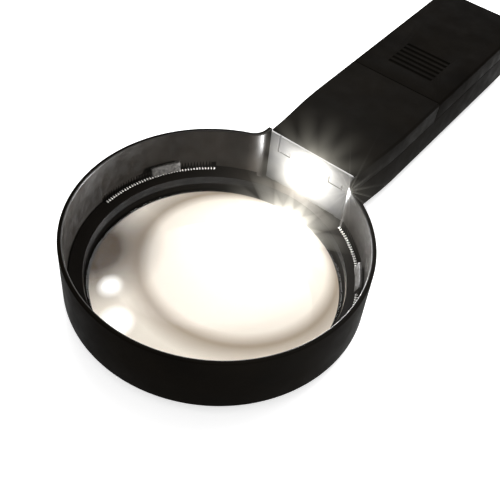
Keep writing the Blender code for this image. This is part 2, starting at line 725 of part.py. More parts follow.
def main():
    clear_scene()
    root = bpy.data.objects.new("magnifier_root", None)
    root.location = (0.0, -(HANDLE_END - RING_RADIUS) / 2.0 * MM, 0.0)
    bpy.context.scene.collection.objects.link(root)
    make_head_ring()
    make_lens()
    make_retaining_ring()
    make_catches()
    make_lamp()
    make_rear_shell()
    make_front_shell()
    make_battery_door()
    make_switch()
    make_power()
    make_screws()


main()
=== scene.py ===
"""Looks of the hand-held illuminated low vision magnifier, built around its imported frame.

Shapes are made in the design frame of the part: millimetres, the lens axis on Z, the handle
along +Y and the eye side on z = 0. MM and AXIS bring them into the frame's metres.
"""
import math

import bmesh
import bpy
from mathutils import Matrix, Vector


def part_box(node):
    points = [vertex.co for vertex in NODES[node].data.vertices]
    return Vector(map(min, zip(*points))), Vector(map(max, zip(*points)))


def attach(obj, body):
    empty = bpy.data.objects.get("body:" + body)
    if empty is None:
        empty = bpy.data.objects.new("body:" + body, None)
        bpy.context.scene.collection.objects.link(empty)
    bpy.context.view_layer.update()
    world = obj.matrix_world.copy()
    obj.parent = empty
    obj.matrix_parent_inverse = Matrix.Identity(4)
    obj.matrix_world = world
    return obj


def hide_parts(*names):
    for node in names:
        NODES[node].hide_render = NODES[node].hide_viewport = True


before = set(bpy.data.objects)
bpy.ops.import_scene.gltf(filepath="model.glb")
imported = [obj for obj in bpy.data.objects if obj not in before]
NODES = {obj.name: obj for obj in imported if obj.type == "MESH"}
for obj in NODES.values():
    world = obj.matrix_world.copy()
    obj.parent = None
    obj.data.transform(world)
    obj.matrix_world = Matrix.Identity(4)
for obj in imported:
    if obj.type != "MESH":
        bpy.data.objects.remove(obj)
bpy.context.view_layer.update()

MM = 0.001
HOUSING = "magnifier"


def ring_axis():
    """Foot of the lens axis, in the frame's metres."""
    low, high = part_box("lens")
    return Vector(((low.x + high.x) / 2.0, (low.y + high.y) / 2.0, 0.0))


AXIS = ring_axis()


def span(node):
    """Lowest and highest corner of a CAD node in the design frame, millimetres."""
    return tuple((Vector(corner) - AXIS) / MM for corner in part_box(node))


# Camera: its place from the foot of the lens axis, its heading, pitch and roll
CAMERA_PLACE = Vector((87.44, -118.39, 178.58)) * MM
CAMERA_HEADING = math.radians(33.14)
CAMERA_PITCH = math.radians(48.0)
CAMERA_ROLL = math.radians(6.81)
CAMERA_LENS = 60.18
CAMERA_SENSOR = 36.0
CAMERA_CLIP = (0.01, 50.0)

# Cutters reach this far past what they cut
OVERCUT = 1.0

# Edges are drawn sharp above an angle; a CAD mesh is welded and its flat faces joined within limits
SHARP_ANGLE = 32.0
WELD = 0.002
FLAT_ANGLE = 0.6

# Edge roundings
RING_ROUND = 0.3
SHELL_ROUND = 0.3
CELL_ROUND = 0.25
DOOR_ROUND = 0.22
CATCH_ROUND = 0.18
SLIDER_ROUND = 0.12
PANEL_ROUND = 0.12
SCREW_ROUND = 0.1

# Ring. The pocket's fillets leave the wall at POCKET_ANGLE from the handle; the cavity is offset from
# the inner wall by CAVITY_FOOT at its floor and by CAVITY_TOP at the rim
DEPTH = span("head_ring")[1].z
RING_RADIUS = span("head_ring")[1].x
WALL = 1.4
WALL_RADIUS = RING_RADIUS - WALL
EDGE_CHAMFER = 3.0
EDGE_HEIGHT = 3.2
PANEL_GAP = 0.3
POCKET_HALF = span("led_panel")[1].x + PANEL_GAP
POCKET_ANGLE = math.radians(27.0)
POCKET_END = span("led_panel")[1].y
RING_FLOOR = 2.7
LIP_BORE = 33.9
SEAT_RADIUS = 36.6
SEAT_Z = 1.2
CAVITY_FOOT = -0.15
CAVITY_TOP = 0.1
TENON = ((-11.0, 41.0, 1.6), (11.0, 62.0, 3.4))
PILLAR_HOLE = 3.4
PILLAR_OVERCUT = 0.5
PILLAR_STEPS = 40
WALL_STEPS = 264
FILLET_STEPS = 9

# Retaining ring: a glossy bore that drops from the collar's edge, then a ledge that rises to the wall
COLLAR_STEPS = 720
COLLAR_FOOT = 34.9
COLLAR_EDGE = 35.6
COLLAR_TOP = 6.9
COLLAR_GAP = 0.3
COLLAR_RELIEF = 0.1
BEAD_WIDTH = 0.3
BEAD_HEIGHT = 0.06
BORE_LIP = 0.2
BORE_TAPER = 0.35
BORE_DROP = 2.5
FOOT_STEP = (0.05, 0.1)
LEDGE_SLOPE = 0.28
LEDGE_RADIUS = 39.15
LEDGE_BREAK = 0.12
PANEL_RADIUS = 38.0
LAMP_SECTOR = 21.5

# Ratchet, and the slot in the wall behind it
RATCHET_RADIUS = 38.75
RATCHET_START = 39.9
RATCHET_ARC = 55.0
RATCHET_MARGIN = 0.4
RATCHET_TEETH = 42
STEPS_PER_TOOTH = 4
TOOTH_DEPTH = 0.55
TOOTH_ROOT = RATCHET_RADIUS - TOOTH_DEPTH
LEDGE_AT_TEETH = COLLAR_TOP + LEDGE_SLOPE * (TOOTH_ROOT - COLLAR_EDGE)
TOOTH_RISE = 0.2
TOOTH_VALLEY = -0.15
TOOTH_BACK = 0.3
TOOTH_BREAK = (0.08, 0.1)
TOOTH_OVERLAP = 0.02
VALLEY_OVERLAP = 0.03
TOOTH_FOOT = 3.0
SLOT_TOP = 9.2
SLOT_FOOT = RING_FLOOR + 0.5
SLOT_RADIUS = WALL_RADIUS + 0.45
SLOT_NOTCH = 0.15
THIRD_TURN = 120.0

# Lens. The smallest ring of points keeps a POLE_SHARE of the radius, so that no face is a needle
LENS_RADIUS = span("lens")[1].x
LENS_FLANGE = (1.5, 2.4)
DOME_RADIUS = 35.0
DOME_CURVE = 85.0
BACK_RADIUS = 33.6
BACK_SAG = 1.1
LENS_BREAK = 0.15
LENS_STEPS = 144
LENS_RINGS = 28
POLE_SHARE = 0.004
LENS_IOR = 1.49

# Lamp: its panel, its window and what it sheds (watts)
PANEL_FACE = span("led_panel")[0].y
LAMP_Z = (span("led_window")[0].z + span("led_window")[1].z) / 2.0
WINDOW_RADIUS = span("led_window")[1].x
WINDOW_GAP = 0.3
WINDOW_STEPS = 72
WINDOW_RINGS = 8
WINDOW_POLE = 0.02
PANEL_LIP = 0.55
PANEL_SLOPE = 1.3
PANEL_PAST = 0.5
GROOVE = 0.45
GROOVE_DEPTH = 0.4
LAMP_GLOW = 1.2
BEAM_SHARE = 0.8
BEAM_AHEAD = 1.4
BEAM_POWER = 0.18
SPILL_AHEAD = 6.0
SPILL_RADIUS = 3.0
SPILL_POWER = 0.014

# Screw recesses; bare metal and printed band of a cell, from its foot and from its top
RECESS_WIDTH = 0.5
RECESS_LENGTH = 2.2
RECESS_DEPTH = 0.6
CELL_FOOT = 0.8
CELL_BAND = (15.0, 11.0)
CELL_TOP = 2.2

# Studio: softbox (azimuth and elevation in degrees, distance and size in metres, watts) and world
SOFTBOX = (20.0, 47.0, 1.1, 1.5, 30.0)
WORLD_STRENGTH = 0.6

# Floor (its half width in metres), and the painted warm shade and painted glints on it: each edge is where it
# starts and ends
FLOOR_HALF = 6.0
FLOOR_GLOW = 0.64
FLOOR_DROP = 0.2
PAPER = ((0.93, 0.93, 0.93), (0.95, 0.95, 0.95))
SHADE = ((0.6, 0.555, 0.49), (0.62, 0.575, 0.51))
SHADE_EDGE = (37.5, 38.5)
PAGE_CENTRE = (1.0, 9.0)
PAGE_EDGE = (23.5, 27.5)
BAND_EDGE = (27.0, 33.0)
BAND_AMOUNT = 0.75
BAND_COLOUR = (0.12, 0.07, 0.025)
CRESCENT_CENTRE = (-31.5, -13.5)
CRESCENT_EDGE = (7.0, 20.0)
CRESCENT_COLOUR = (0.025, 0.011, 0.001)
# painted glints: two soft white highlights on the paper under the lens
GLINTS = (((-10.5, -27.0), (2.6, 5.5)), ((-19.3, -19.8), (1.2, 4.0)))
GLINT_COLOUR = (0.93, 0.93, 0.92)


# ---------------------------------------------------------------- meshes

def link(obj):
    """Put an object in the scene."""
    bpy.context.scene.collection.objects.link(obj)
    return obj


def finish_piece(obj, body, replaces):
    """Attach a piece to what it rides on and hide the nodes it stands for."""
    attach(obj, body)
    if replaces:
        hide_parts(*replaces)
    return obj


def mesh_object(name, bm, materials, sharp=SHARP_ANGLE):
    """An object at the lens axis from a bmesh in millimetres."""
    bmesh.ops.recalc_face_normals(bm, faces=bm.faces)
    bmesh.ops.scale(bm, verts=bm.verts, vec=(MM, MM, MM))
    mesh = bpy.data.meshes.new(name)
    bm.to_mesh(mesh)
    bm.free()
    mesh.shade_smooth()
    mesh.set_sharp_from_angle(angle=math.radians(sharp))
    for material in materials:
        mesh.materials.append(material)
    obj = bpy.data.objects.new(name, mesh)
    obj.location = AXIS
    return link(obj)


def piece(name, bm, materials, replaces=(), body=HOUSING, sharp=SHARP_ANGLE):
    """A finished piece from a bmesh in millimetres."""
    obj = mesh_object(name, bm, materials, sharp)
    return finish_piece(obj, body, replaces)


def combine(obj, bm, operation):
    """Cut or join a shape, given in the design frame, and keep the result as the mesh."""
    helper = mesh_object("helper", bm, list(obj.data.materials))
    modifier = obj.modifiers.new("combine", "BOOLEAN")
    modifier.object = helper
    modifier.operation = operation
    modifier.solver = "EXACT"
    bake_modifiers(obj)
    bpy.data.objects.remove(helper, do_unlink=True)


def bake_modifiers(obj):
    """Turn an object's modifiers into plain mesh."""
    bpy.context.view_layer.update()
    depsgraph = bpy.context.evaluated_depsgraph_get()
    mesh = bpy.data.meshes.new_from_object(obj.evaluated_get(depsgraph))
    obj.modifiers.clear()
    obj.data = mesh


def smooth(obj, sharp=SHARP_ANGLE):
    """Shade smooth, with sharp edges above an angle in degrees."""
    obj.data.shade_smooth()
    obj.data.set_sharp_from_angle(angle=math.radians(sharp))


def soften(obj, width, segments=2, angle=40.0):
    """Round an object's edges."""
    modifier = obj.modifiers.new("soften", "BEVEL")
    modifier.width = width * MM
    modifier.segments = segments
    modifier.limit_method = "ANGLE"
    modifier.angle_limit = math.radians(angle)
    modifier.harden_normals = False
    bake_modifiers(obj)
    smooth(obj)


def add_loft(bm, layers):
    """A closed solid through loops of equal length, capped at both ends."""
    loops = [[bm.verts.new(point) for point in layer] for layer in layers]
    count = len(layers[0])
    for low, high in zip(loops, loops[1:]):
        for i in range(count):
            j = (i + 1) % count
            bm.faces.new((low[i], low[j], high[j], high[i]))
    bm.faces.new(loops[0][::-1])
    bm.faces.new(loops[-1])


def loft(layers):
    """One lofted solid."""
    bm = bmesh.new()
    add_loft(bm, layers)
    return bm


def ring_of_sections(sections, closed=True):
    """A ring through section outlines of equal length, or an arc with capped ends."""
    bm = bmesh.new()
    loops = [[bm.verts.new(point) for point in section] for section in sections]
    count = len(sections[0])
    last = len(loops) if closed else len(loops) - 1
    for k in range(last):
        loop = loops[k]
        after = loops[(k + 1) % len(loops)]
        for i in range(count):
            j = (i + 1) % count
            bm.faces.new((loop[i], loop[j], after[j], after[i]))
    if not closed:
        bm.faces.new(loops[0][::-1])
        bm.faces.new(loops[-1])
    return bm


def boxes(*corners):
    """Upright boxes, each from its lowest and highest corner."""
    bm = bmesh.new()
    for low, high in corners:
        outline = [(low[0], low[1]), (high[0], low[1]), (high[0], high[1]), (low[0], high[1])]
        add_loft(bm, [[(x, y, z) for x, y in outline] for z in (low[2], high[2])])
    return bm


def circle(radius, z, steps, centre=(0.0, 0.0)):
    """Points round a level circle."""
    x, y = centre
    turns = [2.0 * math.pi * i / steps for i in range(steps)]
    return [(x + radius * math.cos(t), y + radius * math.sin(t), z) for t in turns]


def turned(profile, steps, centre=(0.0, 0.0)):
    """A solid of revolution about Z from (radius, z) pairs, bottom to top."""
    return loft([circle(radius, z, steps, centre) for radius, z in profile])


def polar(radius, degrees, z):
    """A point at an angle from the handle, positive towards -X."""
    turn = math.radians(degrees)
    return (-radius * math.sin(turn), radius * math.cos(turn), z)


def aim_along_y(bm, centre):
    """Turn a shape made about Z so that it points along +Y from a centre."""
    bmesh.ops.rotate(bm, verts=bm.verts, matrix=Matrix.Rotation(math.radians(-90.0), 3, "X"))
    bmesh.ops.translate(bm, verts=bm.verts, vec=centre)
    return bm


def rounded_copy(node, material, width, body=HOUSING, cut=None):
    """A detailed stand-in for a CAD node: same shape, flat faces joined, edges rounded."""
    source = NODES[node]
    mesh = source.data.copy()
    mesh.transform(source.matrix_world)
    bm = bmesh.new()
    bm.from_mesh(mesh)
    bmesh.ops.remove_doubles(bm, verts=bm.verts, dist=WELD * MM)
    bmesh.ops.dissolve_limit(bm, angle_limit=math.radians(FLAT_ANGLE), verts=bm.verts, edges=bm.edges)
    bm.to_mesh(mesh)
    bm.free()
    mesh.materials.clear()
    mesh.materials.append(material)
    obj = link(bpy.data.objects.new(f"{node}_moulded", mesh))
    soften(obj, width)
    if cut:
        combine(obj, cut, "DIFFERENCE")
    return finish_piece(obj, body, (node,))


# ---------------------------------------------------------------- materials

def new_material(name):
    """A material with its node tree and shader."""
    material = bpy.data.materials.new(name)
    material.use_nodes = True
    return material, material.node_tree, material.node_tree.nodes["Principled BSDF"]


def noise(tree, scale, detail=4.0, distortion=0.0):
    """A noise texture over the object's own coordinates; scale is features per metre."""
    place = tree.nodes.new("ShaderNodeTexCoord")
    texture = tree.nodes.new("ShaderNodeTexNoise")
    texture.inputs["Scale"].default_value = scale
    texture.inputs["Detail"].default_value = detail
    texture.inputs["Roughness"].default_value = 0.55
    texture.inputs["Distortion"].default_value = distortion
    tree.links.new(place.outputs["Object"], texture.inputs["Vector"])
    return texture.outputs["Fac"]


def remap(tree, value, low, high, start=0.35, end=0.65):
    """A value from start to end spread over low to high; the defaults suit a noise."""
    node = tree.nodes.new("ShaderNodeMapRange")
    node.inputs["From Min"].default_value = start
    node.inputs["From Max"].default_value = end
    node.inputs["To Min"].default_value = low
    node.inputs["To Max"].default_value = high
    tree.links.new(value, node.inputs["Value"])
    return node.outputs["Result"]


def blend_colours(tree, value, first, second):
    """Between two colours by a value."""
    node = tree.nodes.new("ShaderNodeMix")
    node.data_type = "RGBA"
    node.inputs["A"].default_value = (*first, 1.0)
    node.inputs["B"].default_value = (*second, 1.0)
    tree.links.new(value, node.inputs["Factor"])
    return node.outputs["Result"]


def over(tree, amount, colour, below):
    """A colour laid over another node's colour by an amount."""
    node = tree.nodes.new("ShaderNodeMix")
    node.data_type = "RGBA"
    tree.links.new(amount, node.inputs["Factor"])
    tree.links.new(below, node.inputs["A"])
    node.inputs["B"].default_value = (*colour, 1.0)
    return node.outputs["Result"]


def product(tree, first, second):
    """Two values multiplied."""
    node = tree.nodes.new("ShaderNodeMath")
    node.operation = "MULTIPLY"
    tree.links.new(first, node.inputs[0])
    tree.links.new(second, node.inputs[1])
    return node.outputs["Value"]


def bump(tree, shader, value, distance):
    """Fine relief on a shader; distance in millimetres."""
    node = tree.nodes.new("ShaderNodeBump")
    node.inputs["Distance"].default_value = distance * MM
    node.inputs["Strength"].default_value = 1.0
    tree.links.new(value, node.inputs["Height"])
    tree.links.new(node.outputs["Normal"], shader.inputs["Normal"])


def surface(name, colours, roughness, specular=0.5, metallic=0.0, mottle=60.0, grain=2600.0,
            relief=0.012):
    """A moulded, painted or metal surface: mottled colour, uneven gloss and fine grain."""
    material, tree, shader = new_material(name)
    clouds = noise(tree, mottle, detail=5.0)
    tree.links.new(blend_colours(tree, remap(tree, clouds, 0.0, 1.0), *colours), shader.inputs["Base Color"])
    tree.links.new(remap(tree, noise(tree, mottle * 3.0), *roughness), shader.inputs["Roughness"])
    bump(tree, shader, noise(tree, grain, detail=2.0), relief)
    shader.inputs["Specular IOR Level"].default_value = specular
    shader.inputs["Metallic"].default_value = metallic
    return material


def cell_sleeve():
    """A printed cell sleeve: blue, with a pale band near one end and bare metal at both ends."""
    blue, pale, metal = (0.02, 0.035, 0.13), (0.5, 0.5, 0.5), (0.35, 0.35, 0.36)
    material = surface("cell_sleeve", (metal, (0.42, 0.42, 0.43)), (0.2, 0.32), mottle=30.0, relief=0.003)
    tree = material.node_tree
    shader = tree.nodes["Principled BSDF"]
    place = tree.nodes.new("ShaderNodeTexCoord")
    split = tree.nodes.new("ShaderNodeSeparateXYZ")
    tree.links.new(place.outputs["Object"], split.inputs[0])
    low, high = span("battery_left")
    colour = shader.inputs["Base Color"].links[0].from_socket
    bands = (
        (low.y + CELL_FOOT, blue),
        (high.y - CELL_BAND[0], pale),
        (high.y - CELL_BAND[1], blue),
        (high.y - CELL_TOP, metal),
    )
    for edge, tone in bands:
        start = edge * MM + AXIS.y
        printed = remap(tree, split.outputs["Y"], 0.0, 1.0, start, start + 0.1 * MM)
        colour = over(tree, printed, tone, colour)
    tree.links.new(colour, shader.inputs["Base Color"])
    return material


def clear_plastic(name, colour):
    """Coated optical acrylic, which reflects little, with the faintest wipe marks in its gloss."""
    material, tree, shader = new_material(name)
    tree.links.new(remap(tree, noise(tree, 90.0, distortion=1.5), 0.0, 0.035), shader.inputs["Roughness"])
    shader.inputs["Base Color"].default_value = (*colour, 1.0)
    shader.inputs["Transmission Weight"].default_value = 1.0
    shader.inputs["IOR"].default_value = LENS_IOR
    shader.inputs["Specular Tint"].default_value = (0.25, 0.25, 0.25, 1.0)
    return material


def glowing(name, colour, strength):
    """A lit diffuser with slightly uneven light."""
    material, tree, shader = new_material(name)
    shader.inputs["Base Color"].default_value = (*colour, 1.0)
    shader.inputs["Roughness"].default_value = 0.35
    shader.inputs["Emission Color"].default_value = (*colour, 1.0)
    uneven = remap(tree, noise(tree, 400.0), strength * 0.9, strength)
    tree.links.new(uneven, shader.inputs["Emission Strength"])
    return material


def make_materials():
    """Every finish by its name: colour range and gloss range first, then what differs from the usual."""
    black = (0.0012, 0.0008, 0.0005)
    brown = (0.0026, 0.0018, 0.0010)
    return {
        "housing": surface("housing_plastic", (black, brown), (0.42, 0.56), specular=0.004),
        "ring": surface("ring_plastic", (black, brown), (0.38, 0.5), specular=0.004),
        "wall": surface("ring_wall_gloss", ((0.005, 0.0042, 0.0034), (0.008, 0.0066, 0.0054)), (0.28, 0.45),
                        specular=0.16, mottle=110.0, grain=1500.0, relief=0.012),
        "collar": surface("collar_gloss", ((0.006, 0.006, 0.006), (0.009, 0.0085, 0.008)), (0.12, 0.22),
                          specular=0.9, mottle=120.0, relief=0.003),
        "ledge": surface("ledge_matt", ((0.0008, 0.0006, 0.0005), (0.002, 0.0016, 0.0012)), (0.5, 0.65),
                         specular=0.004),
        # tooth crowns: a pale grey base colour, a painted highlight on the black ring plastic, with real
        # gloss
        "teeth": surface("teeth_crown_painted_highlight", ((0.4, 0.39, 0.37), (0.6, 0.58, 0.55)), (0.18, 0.35),
                         specular=0.6),
        "catch": surface("catch_rough", ((0.006, 0.0055, 0.005), (0.04, 0.037, 0.034)), (0.35, 0.65),
                         specular=0.2, mottle=1400.0, grain=1500.0, relief=0.12),
        "panel": surface("panel_satin", ((0.29, 0.286, 0.282), (0.35, 0.346, 0.342)), (0.3, 0.42),
                         specular=0.5, mottle=90.0, grain=2200.0, relief=0.008),
        "slider": surface("slider_plastic", ((0.035, 0.035, 0.036), (0.05, 0.05, 0.05)), (0.4, 0.55),
                          specular=0.3),
        "board": surface("board_lacquer", ((0.01, 0.09, 0.035), (0.02, 0.13, 0.05)), (0.25, 0.4),
                         mottle=500.0),
        "dark": surface("component_epoxy", ((0.02, 0.02, 0.02), (0.04, 0.04, 0.038)), (0.35, 0.5)),
        "nickel": surface("nickel_plate", ((0.62, 0.6, 0.56), (0.72, 0.7, 0.66)), (0.18, 0.34),
                          metallic=1.0, mottle=220.0, relief=0.004),
        "steel": surface("screw_steel", ((0.3, 0.3, 0.31), (0.42, 0.42, 0.43)), (0.25, 0.42),
                         metallic=1.0, mottle=500.0, relief=0.006),
        "mirror": surface("reflector_chrome", ((0.85, 0.85, 0.86), (0.9, 0.9, 0.91)), (0.05, 0.12),
                          metallic=1.0, relief=0.002),
        "sleeve": cell_sleeve(),
        "red": surface("lead_red_sheath", ((0.42, 0.02, 0.015), (0.5, 0.03, 0.02)), (0.35, 0.5)),
        "sheath": surface("lead_black_sheath", ((0.01, 0.01, 0.01), (0.018, 0.018, 0.018)), (0.35, 0.5)),
        "emitter": surface("emitter_phosphor", ((0.85, 0.7, 0.2), (0.95, 0.82, 0.3)), (0.3, 0.45),
                           mottle=900.0),
        "lens": clear_plastic("lens_acrylic", (0.97, 0.965, 0.955)),
        "lamp": glowing("lamp_diffuser", (1.0, 0.99, 0.96), LAMP_GLOW),
    }


# ---------------------------------------------------------------- ring

def head_outline(offset, end, z):
    """The ring's plan outline, `offset` outside the inner wall: circle, fillets and pocket."""
    fillet = (WALL_RADIUS * math.sin(POCKET_ANGLE) - POCKET_HALF) / (1.0 - math.sin(POCKET_ANGLE))
    centre_x = POCKET_HALF + fillet
    centre_y = (WALL_RADIUS + fillet) * math.cos(POCKET_ANGLE)
    side = []
    for i in range(FILLET_STEPS):
        turn = POCKET_ANGLE + (math.pi / 2.0 - POCKET_ANGLE) * (1.0 - i / FILLET_STEPS)
        radius = fillet - offset
        side.append((centre_x - radius * math.sin(turn), centre_y - radius * math.cos(turn)))
    left = [(-POCKET_HALF - offset, end)] + [(-x, y) for x, y in side]
    right = [(x, y) for x, y in reversed(side)] + [(POCKET_HALF + offset, end)]
    arc = []
    for i in range(WALL_STEPS + 1):
        turn = POCKET_ANGLE + 2.0 * (math.pi - POCKET_ANGLE) * i / WALL_STEPS
        radius = WALL_RADIUS + offset
        arc.append((-radius * math.sin(turn), radius * math.cos(turn)))
    return [(x, y, z) for x, y in left + arc + right]


def ratchet_arc(start, profile_at, arc=RATCHET_ARC):
    """A capped arc of changing sections, from an angle off the handle."""
    steps = RATCHET_TEETH * STEPS_PER_TOOTH
    sections = []
    for i in range(steps + 1):
        degrees = start + arc * i / steps
        sections.append([polar(r, degrees, z) for r, z in profile_at(i)])
    return ring_of_sections(sections, closed=False)


def on_tooth(i):
    """Whether a step along the ratchet lies on a tooth."""
    return i % STEPS_PER_TOOTH in (1, 2)


def slot_profile(i):
    """Wall slot behind the ratchet, with a shallow upright notch at each tooth."""
    inner = WALL_RADIUS - OVERCUT
    outer = SLOT_RADIUS + (SLOT_NOTCH if on_tooth(i) else 0.0)
    return [(inner, SLOT_FOOT), (outer, SLOT_FOOT), (outer, SLOT_TOP), (inner, SLOT_TOP)]


def screw_centre(name):
    """Where a screw's axis is in plan."""
    low, high = span(f"screw_{name}")
    return ((low.x + high.x) / 2.0, (low.y + high.y) / 2.0)


def gloss_inside(ring):
    """Give the faces that look inwards, above the floor of the ring, the glossy finish."""
    floor = RING_FLOOR * MM
    near_floor = 0.1 * MM
    for face in ring.data.polygons:
        outward = face.normal.x * face.center.x + face.normal.y * face.center.y
        inner = outward < -0.002 * face.center.length or abs(face.center.z - floor) < near_floor
        face.material_index = 1 if inner and face.center.z > floor - near_floor else 0


def make_ring(looks):
    """Ring wall, base and lens seat, with a matt outside and a glossy inside."""
    outside = [(WALL - EDGE_CHAMFER, 0.0), (WALL, EDGE_HEIGHT), (WALL, DEPTH)]
    ring = mesh_object("ring_housing", loft([head_outline(o, POCKET_END, z) for o, z in outside]),
                       [looks["ring"], looks["wall"]])
    inside = [(CAVITY_FOOT, RING_FLOOR), (CAVITY_TOP, DEPTH + OVERCUT)]
    cavity = [head_outline(o, POCKET_END + OVERCUT, z) for o, z in inside]
    combine(ring, loft(cavity), "DIFFERENCE")
    seat = [(LIP_BORE, -OVERCUT), (LIP_BORE, SEAT_Z), (SEAT_RADIUS, SEAT_Z),
            (SEAT_RADIUS, RING_FLOOR + OVERCUT)]
    combine(ring, turned(seat, LENS_STEPS), "DIFFERENCE")
    soften(ring, RING_ROUND, segments=3, angle=35.0)
    for k in range(3):
        slot = ratchet_arc(RATCHET_START + k * THIRD_TURN, slot_profile)
        combine(ring, slot, "DIFFERENCE")
    combine(ring, boxes(TENON), "UNION")
    foot, top = TENON[0][2] - PILLAR_OVERCUT, TENON[1][2] + PILLAR_OVERCUT
    for side in ("left", "right"):
        hole = turned([(PILLAR_HOLE, foot), (PILLAR_HOLE, top)], PILLAR_STEPS, screw_centre(f"front_{side}"))
        combine(ring, hole, "DIFFERENCE")
    smooth(ring)
    gloss_inside(ring)
    finish_piece(ring, HOUSING, ("head_ring",))


def retaining_edge(degrees):
    """Outer radius of the retaining ring at an angle from the handle."""
    turn = degrees % 360.0
    if min(turn, 360.0 - turn) < LAMP_SECTOR:
        return PANEL_RADIUS
    if (turn - RATCHET_START) % THIRD_TURN < RATCHET_ARC:
        return TOOTH_ROOT
    return LEDGE_RADIUS


def collar_section(edge):
    """Section through the retaining ring, from its foot on the lens round its outer edge."""
    low = LENS_FLANGE[1] + COLLAR_GAP
    foot = RING_FLOOR + COLLAR_GAP
    top = COLLAR_TOP + LEDGE_SLOPE * (edge - COLLAR_EDGE)
    return [
        (COLLAR_FOOT, low),
        (LENS_RADIUS - COLLAR_RELIEF, low),
        (LENS_RADIUS, foot),
        (edge, foot),
        (edge, top - LEDGE_BREAK),
        (edge - COLLAR_RELIEF, top),
        (COLLAR_EDGE + BEAD_WIDTH, COLLAR_TOP + BEAD_HEIGHT),
        (COLLAR_EDGE + COLLAR_RELIEF, COLLAR_TOP),
        (COLLAR_EDGE, COLLAR_TOP - BORE_LIP),
        (COLLAR_EDGE - BORE_TAPER, COLLAR_TOP - BORE_DROP),
        (COLLAR_FOOT - FOOT_STEP[0], COLLAR_TOP - BORE_DROP - FOOT_STEP[1]),
    ]


def make_retaining_ring(looks):
    """Steep glossy bore, thin bead, and a matt ledge that rises to the wall."""
    sections = []
    for i in range(COLLAR_STEPS):
        degrees = 360.0 * (i + 0.5) / COLLAR_STEPS
        section = collar_section(retaining_edge(degrees))
        sections.append([polar(r, degrees, z) for r, z in section])
    ring = piece("retaining_collar", ring_of_sections(sections), [looks["ledge"], looks["collar"]],
                 ("lens_retaining_ring",))
    margin = 0.05
    for face in ring.data.polygons:
        radius = math.hypot(face.center.x, face.center.y)
        bore = radius < (COLLAR_EDGE - margin) * MM
        high = face.center.z > (COLLAR_TOP - BORE_DROP + margin) * MM
        face.material_index = 1 if bore and high else 0


def tooth_profile(i):
    """Section through the ratchet, which stands higher and further out on a tooth."""
    tip = RATCHET_RADIUS if on_tooth(i) else TOOTH_ROOT + VALLEY_OVERLAP
    crown = LEDGE_AT_TEETH + (TOOTH_RISE if on_tooth(i) else TOOTH_VALLEY)
    root = TOOTH_ROOT + TOOTH_OVERLAP
    foot = LEDGE_AT_TEETH - TOOTH_FOOT
    across, down = TOOTH_BREAK
    return [(root - TOOTH_BACK, foot), (tip, foot), (tip, crown - down), (tip - across, crown),
            (root - down, crown), (root - TOOTH_BACK, LEDGE_AT_TEETH + TOOTH_OVERLAP / 2.0)]


def make_ratchet(looks):
    """Three arcs of fine teeth along the ledge's outer edge, their crowns pale grey as a painted highlight.
    """
    crown = (LEDGE_AT_TEETH + TOOTH_OVERLAP) * MM
    for k, name in enumerate(("left", "front", "right")):
        start = RATCHET_START + RATCHET_MARGIN + k * THIRD_TURN
        arc = ratchet_arc(start, tooth_profile, RATCHET_ARC - 2.0 * RATCHET_MARGIN)
        row = piece(f"ratchet_teeth_{name}", arc, [looks["ledge"], looks["teeth"]], sharp=20.0)
        # crown faces take the pale grey painted highlight, the rest the black ledge finish
        for face in row.data.polygons:
            face.material_index = 1 if face.center.z > crown else 0


def make_catches(looks):
    """Rough moulded blocks on the wall, one over each ratchet arc."""
    for name in ("left", "front", "right"):
        rounded_copy(f"ring_catch_{name}", looks["catch"], CATCH_ROUND)


# ---------------------------------------------------------------- lens

def make_lens(looks):
    """Nearly plano-convex lens, turned finely so that it refracts smoothly."""
    base = math.sqrt(DOME_CURVE ** 2 - DOME_RADIUS ** 2)
    profile = []
    for i in range(LENS_RINGS // 2 + 1):
        share = max(POLE_SHARE, 2.0 * i / LENS_RINGS)
        profile.append((BACK_RADIUS * share, LENS_FLANGE[0] - BACK_SAG * (1.0 - share ** 2)))
    low, high = LENS_FLANGE
    inner = LENS_RADIUS - LENS_BREAK
    profile += [(inner, low), (LENS_RADIUS, low + LENS_BREAK), (LENS_RADIUS, high - LENS_BREAK),
                (inner, high)]
    for i in range(LENS_RINGS + 1):
        radius = DOME_RADIUS * max(POLE_SHARE, 1.0 - i / LENS_RINGS)
        profile.append((radius, high + math.sqrt(DOME_CURVE ** 2 - radius ** 2) - base))
    piece("lens_glass", turned(profile, LENS_STEPS), [looks["lens"]], ("lens",), sharp=40.0)


# ---------------------------------------------------------------- lamp

def panel_marks(low, high):
    """Boxes that cut the two moulded bracket marks: one to the left of the window, one to its right."""
    face = low.y - PANEL_PAST
    deep = low.y + GROOVE_DEPTH
    strokes = (
        ((-11.3, 14.8), (-11.3 + GROOVE, high.z + OVERCUT)),
        ((-10.4, 14.9), (-6.8, 14.9 + GROOVE)),
        ((-7.15, 15.0), (-7.15 + GROOVE, 16.9)),
        ((6.9, 14.2), (11.9, 14.2 + GROOVE)),
        ((6.9, 14.2), (6.9 + GROOVE, 16.6)),
        ((11.55, 14.2), (11.55 + GROOVE, 16.0)),
    )
    return [((x0, face, z0), (x1, deep, z1)) for (x0, z0), (x1, z1) in strokes]


